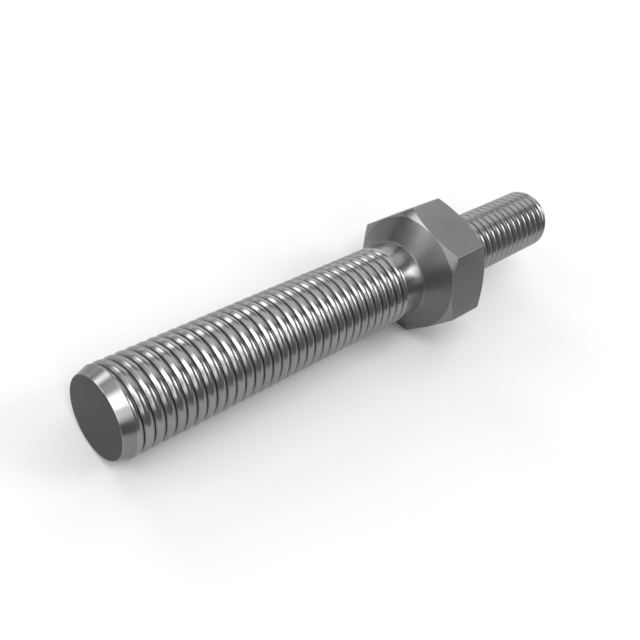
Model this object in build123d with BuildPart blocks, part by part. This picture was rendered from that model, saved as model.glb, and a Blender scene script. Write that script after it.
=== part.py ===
from build123d import *
from math import atan2, cos, radians, sin, sqrt, tan
import os

os.makedirs("parts", exist_ok=True)

# Double-ended stud bolt with a hexagon between its two threads, turned in one piece.
# Millimetres. Lengths along the bolt are counted from the hexagon's face on the long
# thread's side and grow towards the short thread. The threads are given by their
# crests, as plain cylinders.

# Long end, M12 x 1.5
long_length = 55.0  # hexagon's face to the tip
long_thread_diameter = 12.0
long_tip_diameter = 10.8
long_tip_length = 1.65
long_neck_diameter = 11.8
long_neck_length = 6.2  # plain stretch beside the hexagon, with its flare
long_flare_length = 3.0  # straight cone from the neck out to the hexagon's face
long_flare_radius = 1.0  # hollow rounding where the neck turns into the flare
long_runout = 0.5

# Short end, M10 x 1.5
short_length = 25.0  # hexagon's other face to the tip
short_thread_diameter = 10.0
short_tip_diameter = 8.9
short_tip_length = 1.0
short_neck_diameter = 9.0
short_neck_length = 2.5
short_blend_radius = 0.6
short_runout = 0.5

# Hexagon
across_flats = 18.0
hexagon_thickness = 8.0
face_diameter = 17.9  # round face inside the chamfer; the flare covers the one it meets
chamfer_angle = 30.0  # between the chamfer and the face, at the face's rim

# The chamfer is slightly crowned: part of a sphere centred on the bolt's axis.
crown_radius = face_diameter / 2 / sin(radians(chamfer_angle))
crown_centre = face_diameter / 2 / tan(radians(chamfer_angle))

# Lying on a flat surface, the bolt touches it with the front edge of one flat and with
# the last crest of the long thread, so its axis leans a little.
flat_start = crown_centre - sqrt(crown_radius**2 - (across_flats / 2) ** 2)
last_crest = long_tip_length - long_length
lean = atan2((across_flats - long_thread_diameter) / 2, flat_start - last_crest)

# The origin is under the middle of the resting bolt, level with what it lies on.
short_tip = hexagon_thickness + short_length
long_reach = long_length * cos(lean) + long_tip_diameter / 2 * sin(lean)
short_reach = short_tip * cos(lean) + short_tip_diameter / 2 * sin(lean)
face_height = across_flats / 2 * cos(lean) - flat_start * sin(lean)
face_centre = ((long_reach - short_reach) / 2, 0, face_height)
along = (cos(lean), 0, sin(lean))
down = (sin(lean), 0, -cos(lean))
lengthwise = Plane(origin=face_centre, x_dir=along, z_dir=(0, 1, 0))  # its y points down
crosswise = Plane(origin=face_centre, x_dir=down, z_dir=along)
bolt_axis = Axis(face_centre, along)
hexagon_middle = hexagon_thickness / 2

with BuildPart() as stud_bolt:
    # Hexagonal bar with a flat downwards
    with BuildSketch(crosswise):
        RegularPolygon(across_flats / 2, 6, major_radius=False, rotation=30)
    extrude(amount=hexagon_thickness)

    # The chamfer on both faces, which gives the flats their curved ends
    for centre in (crown_centre, hexagon_thickness - crown_centre):
        with Locations(crosswise.offset(centre)):
            Sphere(crown_radius, mode=Mode.INTERSECT)

    # Long end: the flare down from the hexagon, then neck, thread and tip
    with BuildSketch(lengthwise):
        with BuildLine():
            Polyline(
                (hexagon_middle, 0),
                (0, face_diameter / 2),
                (-long_flare_length, long_neck_diameter / 2),
                (-long_neck_length, long_neck_diameter / 2),
                (-long_neck_length - long_runout, long_thread_diameter / 2),
                (long_tip_length - long_length, long_thread_diameter / 2),
                (-long_length, long_tip_diameter / 2),
                (-long_length, 0),
                close=True,
            )
        make_face()
        flare_corner = vertices().sort_by_distance((-long_flare_length, long_neck_diameter / 2))[0]
        fillet(flare_corner, long_flare_radius)
    revolve(axis=bolt_axis)

    # Short end: the same form with a small hollow blend in place of the flare
    with BuildSketch(lengthwise):
        with BuildLine():
            Polyline(
                (hexagon_middle, 0),
                (hexagon_middle, short_neck_diameter / 2),
                (hexagon_thickness + short_neck_length, short_neck_diameter / 2),
                (hexagon_thickness + short_neck_length + short_runout, short_thread_diameter / 2),
                (short_tip - short_tip_length, short_thread_diameter / 2),
                (short_tip, short_tip_diameter / 2),
                (short_tip, 0),
                close=True,
            )
        make_face()
    revolve(axis=bolt_axis)
    fillet(stud_bolt.edges(Select.NEW), short_blend_radius)

stud_bolt.part.label = "stud_bolt"
export_step(stud_bolt.part, "parts/stud_bolt.step")
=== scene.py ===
import bpy, math
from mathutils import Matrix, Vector


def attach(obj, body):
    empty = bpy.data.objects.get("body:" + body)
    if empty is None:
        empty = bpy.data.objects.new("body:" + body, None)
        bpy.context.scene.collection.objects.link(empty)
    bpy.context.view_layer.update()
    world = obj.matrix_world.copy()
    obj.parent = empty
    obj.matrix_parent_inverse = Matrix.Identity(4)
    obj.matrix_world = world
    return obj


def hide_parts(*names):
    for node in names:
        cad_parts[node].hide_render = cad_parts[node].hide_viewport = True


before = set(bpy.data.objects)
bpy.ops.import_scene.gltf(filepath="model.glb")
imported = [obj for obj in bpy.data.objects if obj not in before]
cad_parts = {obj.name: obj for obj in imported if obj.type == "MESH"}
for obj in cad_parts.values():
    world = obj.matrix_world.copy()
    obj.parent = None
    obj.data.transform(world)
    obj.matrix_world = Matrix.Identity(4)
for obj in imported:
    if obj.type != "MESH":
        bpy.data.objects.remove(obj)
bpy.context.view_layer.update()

mm = 0.001

# The bolt is modelled along X, with x = 0 at the hexagon's face on the long thread's
# side, and laid in its place at the end.
lie = {"face": (11.00932 * mm, 0, 8.984194 * mm), "lean": 3.216748}

# The camera is the photograph's, fitted to the outlines of the two threads and the hexagon.
camera = {
    "place": (-86.339 * mm, -35.704 * mm, 88.249 * mm),
    "turn": (41.6003, -23.4295, -41.8077),
    "lens": 47.117, "sensor": 36, "clipStart": 0.005,
}

print("camera")
bpy.ops.object.select_all(action="DESELECT")
bpy.ops.object.camera_add(
    location=camera["place"], rotation=[math.radians(angle) for angle in camera["turn"]])
bpy.context.scene.camera = bpy.context.object
bpy.context.object.data.lens = camera["lens"]
bpy.context.object.data.sensor_width = camera["sensor"]
bpy.context.object.data.clip_start = camera["clipStart"]

# Shared by the whole bolt: steps round every turned surface, the angle in degrees below
# which shading is smooth, how close points have to be to become one, and how close to a
# place they have to be to count as on it.
shared = {
    "around": 96, "smoothBelow": 17,
    "weldTurned": 0.00001 * mm, "weldThread": 0.004 * mm, "weldSliver": 0.002 * mm,
    "weldPiece": 0.003 * mm, "atPlane": 0.01 * mm, "atRim": 0.001 * mm,
}


def drawLine(name, points):
    # an edge chain through points (x, radius), drawn above the axis
    bpy.ops.object.select_all(action="DESELECT")
    x, r = points[0]
    bpy.ops.mesh.primitive_plane_add(size=mm, location=(0, 0, 0))
    line = bpy.context.object
    line.name = name
    bpy.ops.object.mode_set(mode="EDIT")
    bpy.ops.mesh.select_all(action="SELECT")
    bpy.ops.mesh.merge(type="CENTER")
    bpy.ops.transform.translate(value=(x, 0, r))
    for nextX, nextR in points[1:]:
        move = {"value": (nextX - x, 0, nextR - r)}
        bpy.ops.mesh.extrude_region_move(TRANSFORM_OT_translate=move)
        x, r = nextX, nextR
    bpy.ops.object.mode_set(mode="OBJECT")
    return line


def applyModifier(piece, modifier):
    bpy.context.view_layer.objects.active = piece
    bpy.ops.object.modifier_apply(modifier=modifier.name)


def turn(piece, pitch=0, turns=1):
    # a turned or helical surface from a drawn line, about the X axis
    screw = piece.modifiers.new("turn", "SCREW")
    screw.axis = "X"
    screw.angle = math.radians(360)
    screw.screw_offset = pitch
    screw.iterations = turns
    screw.steps = screw.render_steps = shared["around"]
    screw.use_merge_vertices = True
    screw.merge_threshold = shared["weldTurned"]
    applyModifier(piece, screw)
    return piece


def pick(piece, wanted):
    # selects the vertices for which wanted(co) is true, and goes into edit mode
    bpy.context.view_layer.objects.active = piece
    bpy.ops.object.mode_set(mode="EDIT")
    bpy.ops.mesh.select_mode(type="VERT")
    bpy.ops.mesh.select_all(action="DESELECT")
    bpy.ops.object.mode_set(mode="OBJECT")
    for vertex in piece.data.vertices:
        vertex.select = wanted(vertex.co)
    bpy.ops.object.mode_set(mode="EDIT")


def ease(t):
    # 0 up to 0, 1 from 1 on, smooth between
    t = min(max(t, 0), 1)
    return t * t * (3 - 2 * t)


# A ridge of the thread has a small flat crest that rounds off into straight flanks, and a
# narrow groove runs between two ridges. Places across a ridge count from 0 on its crest to
# 1 in its root, and slope is the flanks' fall in degrees. The ridge is swept a few turns
# further than the thread runs, and just inside the thread's ends it is level.
thread = {
    "pitch": 1.5 * mm, "crestEnd": 0.1, "flankStart": 0.45, "slope": 26,
    "grooveStart": 0.9, "groove": 0.13 * mm, "points": 20, "spareTurns": 2, "level": 0.05 * mm,
}
# Each end is given by its crests' radius, where its thread runs, the length over which the
# grooves fade out at both ends of it, and points of its tip beyond the thread.
longEnd = {
    "crest": 6.0 * mm, "from": -53.35 * mm, "to": -6.7 * mm, "fade": 0.25 * mm,
    "tip": [(-54.95 * mm, 5.418 * mm), (-55.0 * mm, 5.37 * mm)],
}
shortEnd = {
    "crest": 5.0 * mm, "from": 11.0 * mm, "to": 32.0 * mm, "fade": 0.5 * mm,
    "tip": [(32.95 * mm, 4.478 * mm), (33.0 * mm, 4.42 * mm)],
}


def ridgeRadius(across, crest):
    crestEnd, flankStart = thread["crestEnd"], thread["flankStart"]
    fall = math.tan(math.radians(thread["slope"])) * thread["pitch"] / 2
    bend = min(max(across - crestEnd, 0), flankStart - crestEnd)
    drop = fall * (bend ** 2 / (flankStart - crestEnd) / 2 + max(across - flankStart, 0))
    groove = ease((across - thread["grooveStart"]) / (1 - thread["grooveStart"]))
    return crest - drop - thread["groove"] * groove


def cutThread(name, end):
    # one ridge from root to root, swept along the helix from before the thread to beyond it
    pitch, count = thread["pitch"], thread["points"]
    turns = math.ceil((end["to"] - end["from"]) / pitch) + thread["spareTurns"]
    start = end["from"] - 1.5 * pitch  # the first crest is one pitch before the thread
    ridge = []
    for i in range(count + 1):
        across = math.sin((i / count - 0.5) * math.pi)  # points crowd towards the roots
        ridge.append((start + (across + 1) / 2 * pitch, ridgeRadius(abs(across), end["crest"])))
    piece = turn(drawLine(name, ridge), pitch, turns)

    # the grooves fade out to the crests, and what lies beyond is pressed flat
    for vertex in piece.data.vertices:
        x, y, z = vertex.co
        r = math.hypot(y, z)
        inside = min(x - end["from"], end["to"] - x) - thread["level"]
        wanted = end["crest"] - (end["crest"] - r) * ease(inside / end["fade"])
        vertex.co.y, vertex.co.z = y * wanted / r, z * wanted / r
    for limit, beyond in ((end["from"], -1), (end["to"], 1)):
        pick(piece, lambda co: (co.x - limit) * beyond > -shared["atPlane"])
        bpy.ops.transform.resize(value=(0, 1, 1), center_override=(limit, 0, 0))
        bpy.ops.object.mode_set(mode="OBJECT")
    bpy.ops.object.mode_set(mode="EDIT")
    bpy.ops.mesh.select_all(action="SELECT")
    bpy.ops.mesh.remove_doubles(threshold=shared["weldThread"])
    bpy.ops.mesh.dissolve_degenerate(threshold=shared["weldSliver"])
    bpy.ops.object.mode_set(mode="OBJECT")
    return piece


def addTip(piece, end, rim):
    # the chamfered tip, drawn out from the thread's rim, and its flat face
    pick(piece, lambda co: abs(co.x - rim) < shared["atRim"])
    x, r = rim, end["crest"]
    for nextX, nextR in end["tip"]:
        bpy.ops.mesh.extrude_region_move(TRANSFORM_OT_translate={"value": (nextX - x, 0, 0)})
        bpy.ops.transform.resize(value=(1, nextR / r, nextR / r), center_override=(nextX, 0, 0))
        x, r = nextX, nextR
    bpy.ops.mesh.edge_face_add()
    bpy.ops.object.mode_set(mode="OBJECT")


print("long end")
longPiece = cutThread("longEnd", longEnd)
addTip(longPiece, longEnd, longEnd["from"])
print("short end")
shortPiece = cutThread("shortEnd", shortEnd)
addTip(shortPiece, shortEnd, shortEnd["to"])

# Necks and faces are given by their radii. The chamfers are slightly crowned, 30 degrees
# off the face at its rim, and are drawn out past the hexagon's corners. The bar is longer
# than what is turned from it, and its long edges are slightly rounded.
middle = {
    "longNeck": 5.9 * mm, "flare": 3.0 * mm, "flareBlend": 0.25 * mm,
    "shortNeck": 4.5 * mm, "shortBlend": 0.6 * mm, "blendSteps": 8, "runout": 0.5 * mm,
    "thickness": 8.0 * mm, "flats": 18.0 * mm, "face": 8.95 * mm, "chamfer": 30,
    "crownReach": 11.2 * mm, "crownSteps": 12,
    "barLength": 40 * mm, "barMiddle": 2 * mm, "edge": 0.07 * mm, "edgeSteps": 3,
}


def hollowBlend(neckEnd, neck, blend, angle, way):
    # a hollow rounding from a neck's end up to an angle; way is 1 along the bolt, -1 back
    points = []
    for i in range(middle["blendSteps"] + 1):
        a = angle * i / middle["blendSteps"]
        points.append((neckEnd + way * blend * math.sin(a), neck + blend - blend * math.cos(a)))
    return points


def middleProfile():
    # from the long thread over the neck, the flare, the crowned chamfers and the short neck
    thickness, face, runout = middle["thickness"], middle["face"], middle["runout"]
    longNeck, shortNeck = middle["longNeck"], middle["shortNeck"]
    blend, slope = middle["flareBlend"], math.atan2(face - longNeck, middle["flare"])
    longNeckEnd = -middle["flare"] - blend * math.tan(slope / 2)
    profile = [(longEnd["to"], 0), (longEnd["to"], longEnd["crest"])]
    profile += [(longEnd["to"] + runout, longNeck)]
    profile += hollowBlend(longNeckEnd, longNeck, blend, slope, 1)
    crownRadius = face / math.sin(math.radians(middle["chamfer"]))
    crownCentre = face / math.tan(math.radians(middle["chamfer"]))
    crown = []
    for i in range(middle["crownSteps"] + 1):
        r = face + (middle["crownReach"] - face) * i / middle["crownSteps"]
        crown.append((crownCentre - math.sqrt(crownRadius ** 2 - r ** 2), r))
    profile += crown + [(thickness - x, r) for x, r in reversed(crown)]
    blend = middle["shortBlend"]
    profile += reversed(hollowBlend(thickness + blend, shortNeck, blend, math.radians(90), -1))
    profile += [(shortEnd["from"] - runout, shortNeck), (shortEnd["from"], shortEnd["crest"])]
    return profile + [(shortEnd["from"], 0)]


def hexagonalBar():
    # the bar that the bolt is turned from
    bpy.ops.object.select_all(action="DESELECT")
    cornerRadius = middle["flats"] / 2 / math.cos(math.radians(30))
    bpy.ops.mesh.primitive_cylinder_add(
        vertices=6, radius=cornerRadius, depth=middle["barLength"],
        location=(middle["barMiddle"], 0, 0), rotation=(0, math.radians(90), 0))
    bar = bpy.context.object
    bpy.ops.object.transform_apply(location=True, rotation=True, scale=True)
    bpy.ops.object.mode_set(mode="EDIT")
    bpy.ops.mesh.select_mode(type="EDGE")
    bpy.ops.mesh.select_all(action="DESELECT")
    bpy.ops.object.mode_set(mode="OBJECT")
    for edge in bar.data.edges:
        a, b = [bar.data.vertices[i].co for i in edge.vertices]
        edge.select = abs(a.x - b.x) > middle["barLength"] / 2
    bpy.ops.object.mode_set(mode="EDIT")
    bpy.ops.mesh.bevel(offset=middle["edge"], segments=middle["edgeSteps"])
    bpy.ops.object.mode_set(mode="OBJECT")
    return bar


print("hexagon and necks")
hexPiece = turn(drawLine("hexagon", middleProfile()))
bar = hexagonalBar()
cut = hexPiece.modifiers.new("bar", "BOOLEAN")
cut.operation = "INTERSECT"
cut.solver = "EXACT"
cut.object = bar
applyModifier(hexPiece, cut)
bpy.data.objects.remove(bar)

# the middle's flat ends go, because the threads join on there
bpy.context.view_layer.objects.active = hexPiece
bpy.ops.object.mode_set(mode="EDIT")
bpy.ops.mesh.select_mode(type="FACE")
bpy.ops.mesh.select_all(action="DESELECT")
bpy.ops.object.mode_set(mode="OBJECT")
for polygon in hexPiece.data.polygons:
    x = polygon.center.x
    outer = x < longEnd["to"] + shared["atPlane"] or x > shortEnd["from"] - shared["atPlane"]
    polygon.select = outer and abs(polygon.normal.x) > 0.99
bpy.ops.object.mode_set(mode="EDIT")
bpy.ops.mesh.delete(type="FACE")
bpy.ops.object.mode_set(mode="OBJECT")

print("one piece")
bpy.ops.object.select_all(action="DESELECT")
for piece in (longPiece, shortPiece, hexPiece):
    piece.select_set(True)
bpy.context.view_layer.objects.active = hexPiece
bpy.ops.object.join()
bolt = bpy.context.object
bolt.name = "turned_bolt"
bpy.ops.object.mode_set(mode="EDIT")
bpy.ops.mesh.select_mode(type="VERT")
bpy.ops.mesh.select_all(action="SELECT")
bpy.ops.mesh.remove_doubles(threshold=shared["weldPiece"])
bpy.ops.mesh.normals_make_consistent(inside=False)
bpy.ops.object.mode_set(mode="OBJECT")
bpy.ops.object.select_all(action="DESELECT")
bolt.select_set(True)
bpy.ops.object.shade_smooth_by_angle(angle=math.radians(shared["smoothBelow"]))
bolt.location = lie["face"]
bolt.rotation_euler = (0, -math.radians(lie["lean"]), 0)
bpy.ops.object.transform_apply(location=True, rotation=True, scale=True)

print("material")


def plainGrey(value):
    return (value, value, value, 1)


def newGroup(name, inputs, outputs):
    # an empty node group; inputs are (name, value) with a value of None for a vector
    group = bpy.data.node_groups.new(name, "ShaderNodeTree")
    for label, value in inputs:
        kind = "NodeSocketVector" if value is None else "NodeSocketFloat"
        socket = group.interface.new_socket(label, in_out="INPUT", socket_type=kind)
        if value is not None:
            socket.default_value = value
    for label in outputs:
        group.interface.new_socket(label, in_out="OUTPUT", socket_type="NodeSocketFloat")
    return group, group.nodes.new("NodeGroupInput").outputs, group.nodes.new("NodeGroupOutput").inputs


def feed(tree, socket, value):
    # a socket gets either another node's output or a plain value
    if isinstance(value, bpy.types.NodeSocket):
        tree.links.new(value, socket)
    else:
        socket.default_value = value


def place(tree, group, **values):
    # a node of a group, with its inputs given by name
    node = tree.nodes.new("ShaderNodeGroup")
    node.node_tree = group
    for label, value in values.items():
        feed(tree, node.inputs[label], value)
    return node.outputs


def calc(tree, operation, *values):
    node = tree.nodes.new("ShaderNodeMath")
    node.operation = operation
    for i, value in enumerate(values):
        feed(tree, node.inputs[i], value)
    return node.outputs[0]


def plus(tree, a, b):
    return calc(tree, "ADD", a, b)


def times(tree, a, b):
    return calc(tree, "MULTIPLY", a, b)


def vectorCalc(tree, operation, *values):
    node = tree.nodes.new("ShaderNodeVectorMath")
    node.operation = operation
    for i, value in enumerate(values):
        feed(tree, node.inputs[i], value)
    return node.outputs["Value" if operation in ("LENGTH", "DOT_PRODUCT") else "Vector"]


def ramp(tree, value, low, high):
    # 0 at low, 1 at high, smooth between
    node = tree.nodes.new("ShaderNodeMapRange")
    node.interpolation_type = "SMOOTHSTEP"
    for i, number in enumerate((value, low, high)):
        feed(tree, node.inputs[i], number)
    return node.outputs[0]


def blendValue(tree, start, end, mask):
    # start where the mask is 0, end where it is 1
    return calc(tree, "MULTIPLY_ADD", mask, end - start, start)


def noise(tree, vector, scale, detail):
    node = tree.nodes.new("ShaderNodeTexNoise")
    feed(tree, node.inputs["Vector"], vector)
    feed(tree, node.inputs["Scale"], scale)
    feed(tree, node.inputs["Detail"], detail)
    return node.outputs["Fac"]


def combine(tree, x, y, z):
    node = tree.nodes.new("ShaderNodeCombineXYZ")
    for i, value in enumerate((x, y, z)):
        feed(tree, node.inputs[i], value)
    return node.outputs[0]


# The steel. "grey" is the base colour, and the other greys are what it is multiplied by.
# Roughnesses add up, and sheen and smudges change both a little. Places, spacings, sizes
# and widths on the bolt are in millimetres. Smudges and specks start at the first value of
# their noise and are full at the second.
# The thread, flare, chamfer, flat and end greys paint light and shade onto those parts of the one
# steel, the rim grey paints a highlight on the turned edges, and the grey in the thread's roots
# paints shade there.
finish = {
    "grey": 0.2, "threadGrey": 1.3, "flareGrey": 0.65, "chamferGrey": 1.02, "flatGrey": 0.92,
    "endGrey": 0.3, "rimGrey": 1.25, "rootShadeGrey": 0.45, "edgeTint": 0.8,
    "turnedRough": 0.2, "drawnRough": 0.36, "flareRough": 0.1, "rootRough": 0.1,
    "smudgeRough": 0.06, "sheenRough": 0.03,
    "sheenGrey": 0.06, "cleanGrey": 1.03, "smudgeGrey": 0.95, "speckGrey": 0.94,
    "flareFrom": -3.5, "flareTo": -2.5, "softFrom": -5.2, "softTo": -3.2, "rootShadeFrom": 0.2,
    "ringSpacing": 0.16, "drawnSpacing": 0.22, "drawnStretch": 0.015, "rimWidth": 0.14,
    "smudgeSize": 7, "smudges": (0.35, 0.7), "specksPerSmudge": 14, "specks": (0.66, 0.74),
    "markDepth": 0.0012 * mm, "drawnDepth": 0.12,
}
# the lathe's rings: width over the spacing, how fast they change round the bolt, and share
rings = {
    "fine": {"width": 1, "change": 0.25, "share": 0.6},
    "broad": {"width": 4, "change": 0.5, "share": 0.4},
}
# how far in millimetres a finish's edge lies off the shape's own edge, so that it is clean
slack = {"flat": 0.004, "hexagon": 0.002, "face": 0.01, "end": 0.01}


def makeBarMeasures():
    # where a point lies on the bolt, in millimetres: along it, out from its axis, round it,
    # and its distance from the axis measured square to the nearest flat of the hexagon
    group, given, result = newGroup(
        "barMeasures", [("Position", None)], ["Along", "Radius", "Round", "Across"])
    position = vectorCalc(group, "MULTIPLY", given["Position"], (1 / mm, 1 / mm, 1 / mm))
    outwards = vectorCalc(group, "MULTIPLY", position, (0, 1, 1))
    split = group.nodes.new("ShaderNodeSeparateXYZ")
    feed(group, split.inputs[0], position)
    feed(group, result["Along"], split.outputs["X"])
    feed(group, result["Radius"], vectorCalc(group, "LENGTH", outwards))
    feed(group, result["Round"], calc(group, "ARCTAN2", split.outputs["Y"], split.outputs["Z"]))
    across = 0
    for angle in (0, 60, 120):
        normal = (0, math.sin(math.radians(angle)), math.cos(math.radians(angle)))
        distance = calc(group, "ABSOLUTE", vectorCalc(group, "DOT_PRODUCT", position, normal))
        across = calc(group, "MAXIMUM", across, distance)
    feed(group, result["Across"], across)
    return group


def makeTurningMarks():
    # fine rings left by the lathe tool, on cylinders, cones and faces alike
    group, given, result = newGroup(
        "turningMarks",
        [("Along", 0), ("Radius", 0), ("Round", 0), ("Spacing", 0.2)], ["Marks", "Sheen"])
    around = calc(group, "ABSOLUTE", given["Round"])
    marks = 0
    for ring in (rings["fine"], rings["broad"]):
        size = times(group, given["Spacing"], ring["width"])
        along = calc(group, "DIVIDE", given["Along"], size)
        out = calc(group, "DIVIDE", given["Radius"], size)
        onRing = combine(group, along, out, times(group, around, ring["change"]))
        lines = noise(group, onRing, scale=1, detail=2)
        marks = plus(group, marks, times(group, lines, ring["share"]))
    feed(group, result["Marks"], marks)
    feed(group, result["Sheen"], lines)  # the broad rings alone
    return group


def makeDrawnMarks():
    # long faint lines along the drawn hexagonal bar
    group, given, result = newGroup("drawnMarks", [("Position", None), ("Spacing", 0.25)], ["Marks"])
    scale = calc(group, "DIVIDE", 1 / mm, given["Spacing"])
    stretched = vectorCalc(group, "MULTIPLY", given["Position"], (finish["drawnStretch"], 1, 1))
    feed(group, result["Marks"], noise(group, stretched, scale, detail=1))
    return group


def makeThreadDepth():
    # inside is 1 along a thread; the root shade, a painted shade, is 0 on its crests and grows to 1
    # in its roots
    group, given, result = newGroup(
        "threadDepth",
        [("Along", 0), ("Radius", 0), ("From", 0), ("To", 0), ("Crest", 0), ("Depth", 0.3)],
        ["Inside", "RootShade"])
    inside = times(
        group,
        calc(group, "GREATER_THAN", given["Along"], given["From"]),
        calc(group, "LESS_THAN", given["Along"], given["To"]))
    below = calc(group, "SUBTRACT", given["Crest"], given["Radius"])
    depth = calc(group, "DIVIDE", below, given["Depth"])
    feed(group, result["Inside"], inside)
    feed(group, result["RootShade"], times(group, inside, ramp(group, depth, finish["rootShadeFrom"], 1)))
    return group


def makeRimHighlight():
    # a painted highlight: 1 on a turned edge at (along, radius), fading out within a width
    group, given, result = newGroup(
        "rimHighlight", [("Along", 0), ("Radius", 0), ("At", 0), ("Out", 0), ("Width", 0.2)], ["Shine"])
    off = combine(
        group, calc(group, "SUBTRACT", given["Along"], given["At"]),
        calc(group, "SUBTRACT", given["Radius"], given["Out"]), 0)
    feed(group, result["Shine"], ramp(group, vectorCalc(group, "LENGTH", off), given["Width"], 0))
    return group


def makeHandling():
    # soft smudges of oil from being handled, and sparse specks
    group, given, result = newGroup(
        "handling", [("Position", None), ("Size", 6)], ["Smudges", "Specks"])
    scale = calc(group, "DIVIDE", 1 / mm, given["Size"])
    soft = noise(group, given["Position"], scale, detail=4)
    fineScale = times(group, scale, finish["specksPerSmudge"])
    fine = noise(group, given["Position"], fineScale, detail=2)
    feed(group, result["Smudges"], ramp(group, soft, *finish["smudges"]))
    feed(group, result["Specks"], ramp(group, fine, *finish["specks"]))
    return group


def findFinishes(tree, bar):
    # masks from 0 to 1 of where each finish lies; places are in millimetres
    along, radius = bar["Along"], bar["Radius"]
    onFlat = calc(tree, "GREATER_THAN", bar["Across"], middle["flats"] / 2 / mm - slack["flat"])
    onTurned = calc(tree, "SUBTRACT", 1, onFlat)

    depthGroup = makeThreadDepth()
    depth = (1 * mm - ridgeRadius(1, 1 * mm)) / mm
    threads, rootShade = 0, 0
    for end in (longEnd, shortEnd):
        oneEnd = place(
            tree, depthGroup, Along=along, Radius=radius, From=end["from"] / mm, To=end["to"] / mm,
            Crest=end["crest"] / mm, Depth=depth)
        threads = plus(tree, threads, oneEnd["Inside"])
        rootShade = plus(tree, rootShade, oneEnd["RootShade"])

    # the turned edges of the tips and thread ends get a painted highlight
    rimGroup = makeRimHighlight()
    edges = [longEnd["tip"][0], shortEnd["tip"][0]]
    edges += [(longEnd["from"], longEnd["crest"]), (shortEnd["to"], shortEnd["crest"])]
    rims = 0
    for x, r in edges:
        oneRim = place(
            tree, rimGroup, Along=along, Radius=radius, At=x / mm, Out=r / mm,
            Width=finish["rimWidth"])
        rims = calc(tree, "MAXIMUM", rims, oneRim["Shine"])

    beforeHexagon = calc(tree, "LESS_THAN", along, -slack["hexagon"])
    flare = ramp(tree, along, finish["flareFrom"], finish["flareTo"])
    soft = ramp(tree, along, finish["softFrom"], finish["softTo"])
    pastFace = calc(tree, "GREATER_THAN", radius, middle["face"] / mm + slack["face"])
    longFace = calc(tree, "LESS_THAN", along, longEnd["tip"][-1][0] / mm + slack["end"])
    shortFace = calc(tree, "GREATER_THAN", along, shortEnd["tip"][-1][0] / mm - slack["end"])
    return {
        "flat": onFlat, "turned": onTurned, "thread": threads, "rootShade": rootShade, "rim": rims,
        "flare": times(tree, flare, beforeHexagon), "soft": times(tree, soft, beforeHexagon),
        "chamfer": times(tree, onTurned, pastFace), "end": plus(tree, longFace, shortFace),
    }


def makeSteel():
    steel = bpy.data.materials.new("brightSteel")
    steel.use_nodes = True
    tree = steel.node_tree
    shader = tree.nodes["Principled BSDF"]
    shader.inputs["Metallic"].default_value = 1
    shader.inputs["Specular Tint"].default_value = plainGrey(finish["edgeTint"])

    # Object coordinates are turned into the bolt's own, x along it from the hexagon's face
    mapping = tree.nodes.new("ShaderNodeMapping")
    mapping.vector_type = "TEXTURE"
    mapping.inputs["Location"].default_value = lie["face"]
    mapping.inputs["Rotation"].default_value = (0, -math.radians(lie["lean"]), 0)
    feed(tree, mapping.inputs["Vector"], tree.nodes.new("ShaderNodeTexCoord").outputs["Object"])
    position = mapping.outputs["Vector"]
    bar = place(tree, makeBarMeasures(), Position=position)
    masks = findFinishes(tree, bar)

    turned = place(
        tree, makeTurningMarks(), Along=bar["Along"], Radius=bar["Radius"], Round=bar["Round"],
        Spacing=finish["ringSpacing"])
    drawn = place(tree, makeDrawnMarks(), Position=position, Spacing=finish["drawnSpacing"])
    worn = place(tree, makeHandling(), Position=position, Size=finish["smudgeSize"])
    turnedSheen = times(tree, turned["Sheen"], masks["turned"])
    sheen = plus(tree, turnedSheen, times(tree, masks["flat"], 0.5))  # even on the flats

    # painted shade: the steel darkens down the thread's flanks into its roots
    grey = blendValue(tree, finish["grey"], finish["grey"] * finish["rootShadeGrey"], masks["rootShade"])
    # painted light and shade: the threads and chamfers are made lighter and the flare, flats and end
    # faces darker than the one steel's grey; the rims get a painted highlight
    for part in ("thread", "flare", "chamfer", "flat", "end", "rim"):
        grey = times(tree, grey, blendValue(tree, 1, finish[part + "Grey"], masks[part]))
    smudged = blendValue(tree, finish["cleanGrey"], finish["smudgeGrey"], worn["Smudges"])
    grey = times(tree, grey, smudged)
    grey = times(tree, grey, blendValue(tree, 1, finish["speckGrey"], worn["Specks"]))
    shown = blendValue(tree, 1 - finish["sheenGrey"], 1 + finish["sheenGrey"], sheen)
    grey = times(tree, grey, shown)
    feed(tree, shader.inputs["Base Color"], combine(tree, grey, grey, grey))

    rough = blendValue(tree, finish["turnedRough"], finish["drawnRough"], masks["flat"])
    rough = plus(tree, rough, times(tree, masks["rootShade"], finish["rootRough"]))
    rough = plus(tree, rough, times(tree, masks["soft"], finish["flareRough"]))
    rough = plus(tree, rough, times(tree, worn["Smudges"], finish["smudgeRough"]))
    rough = plus(tree, rough, blendValue(tree, -finish["sheenRough"], finish["sheenRough"], sheen))
    feed(tree, shader.inputs["Roughness"], rough)

    drawnMarks = times(tree, times(tree, drawn["Marks"], masks["flat"]), finish["drawnDepth"])
    turnedMarks = times(tree, turned["Marks"], masks["turned"])
    bump = tree.nodes.new("ShaderNodeBump")
    bump.inputs["Strength"].default_value = 1
    bump.inputs["Distance"].default_value = finish["markDepth"]
    feed(tree, bump.inputs["Height"], plus(tree, drawnMarks, turnedMarks))
    feed(tree, shader.inputs["Normal"], bump.outputs["Normal"])
    return steel


bolt.data.materials.clear()
bolt.data.materials.append(makeSteel())

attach(bolt, "root")
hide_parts("stud_bolt")

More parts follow.
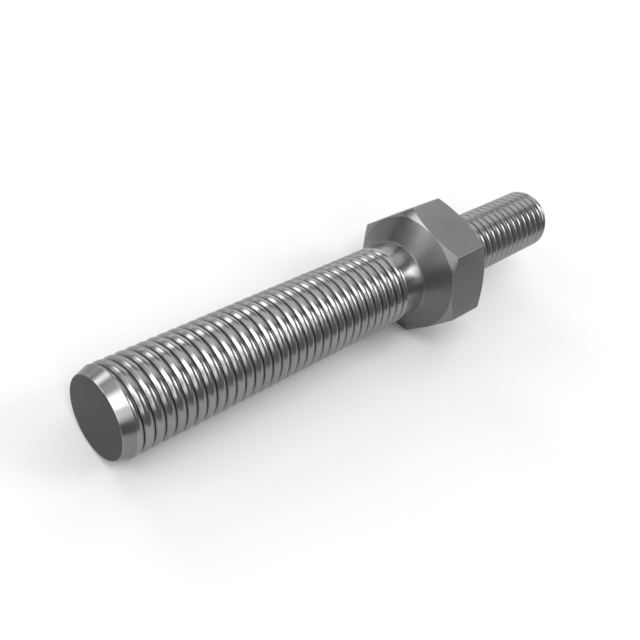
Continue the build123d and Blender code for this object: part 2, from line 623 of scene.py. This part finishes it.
print("floor and lights")
studio = {
    "floorSize": 12, "paperGrey": 0.68, "paperRough": 0.9, "worldGrey": 0.25, "lampDistance": 2.0,
}
bpy.ops.object.select_all(action="DESELECT")
bpy.ops.mesh.primitive_plane_add(size=studio["floorSize"], location=(0, 0, 0))
floor = bpy.context.object
floor.name = "floor"
paper = bpy.data.materials.new("paper")
paper.use_nodes = True
paperShader = paper.node_tree.nodes["Principled BSDF"]
paperShader.inputs["Base Color"].default_value = plainGrey(studio["paperGrey"])
paperShader.inputs["Roughness"].default_value = studio["paperRough"]
floor.data.materials.append(paper)

# Each lamp has the direction of its middle, its width and height in degrees as the bolt
# sees them, and its brightness, where 1 is white.
lamps = {
    "overheadLeft": {"azimuth": -157, "elevation": 68, "width": 34, "height": 19, "bright": 7.5},
    "highLeft": {"azimuth": -140, "elevation": 50, "width": 10, "height": 14, "bright": 2.2},
    "leftEdge": {"azimuth": -118, "elevation": 41, "width": 11, "height": 30, "bright": 3.3},
    "overheadRight": {"azimuth": 80, "elevation": 69, "width": 64, "height": 34, "bright": 1.2},
    "back": {"azimuth": -27, "elevation": 44, "width": 20, "height": 21, "bright": 6.5},
    "backLeft": {"azimuth": -45, "elevation": 31, "width": 14, "height": 22, "bright": 0.9},
    "backRight": {"azimuth": 22, "elevation": 31, "width": 26, "height": 22, "bright": 1.5},
    "farSide": {"azimuth": 97, "elevation": 34, "width": 16, "height": 15, "bright": 5.6},
    "farSideGlow": {"azimuth": 88, "elevation": 30, "width": 48, "height": 26, "bright": 0.8},
    "lowRight": {"azimuth": 48, "elevation": 13, "width": 28, "height": 26, "bright": 1.7},
    "lowBehind": {"azimuth": 80, "elevation": 6, "width": 32, "height": 12, "bright": 1.4},
    "lowFar": {"azimuth": 138, "elevation": 13, "width": 11, "height": 22, "bright": 3.2},
    "lowLeft": {"azimuth": 150, "elevation": 24, "width": 13, "height": 31, "bright": 3.8},
    "frontHigh": {"azimuth": 165, "elevation": 41, "width": 14, "height": 14, "bright": 2.6},
    "front": {"azimuth": -175, "elevation": 19, "width": 36, "height": 32, "bright": 1.4},
}


def lampSide(degrees):
    # how long a lamp's side is to look that wide from the bolt
    return 2 * studio["lampDistance"] * math.tan(math.radians(degrees / 2))


for name, lamp in lamps.items():
    a, e = math.radians(lamp["azimuth"]), math.radians(lamp["elevation"])
    way = Vector((math.cos(a) * math.cos(e), math.sin(a) * math.cos(e), math.sin(e)))
    bpy.ops.object.light_add(type="AREA", location=way * studio["lampDistance"])
    light = bpy.context.object
    light.name = name
    light.rotation_euler = way.to_track_quat("Z", "Y").to_euler()
    light.data.shape = "RECTANGLE"
    light.data.size = lampSide(lamp["width"])
    light.data.size_y = lampSide(lamp["height"])
    light.data.energy = lamp["bright"] * math.pi * light.data.size * light.data.size_y

world = bpy.context.scene.world or bpy.data.worlds.new("studio")
bpy.context.scene.world = world
world.use_nodes = True
background = world.node_tree.nodes["Background"]
background.inputs["Color"].default_value = plainGrey(studio["worldGrey"])
background.inputs["Strength"].default_value = 1
bpy.context.scene.view_settings.view_transform = "Standard"
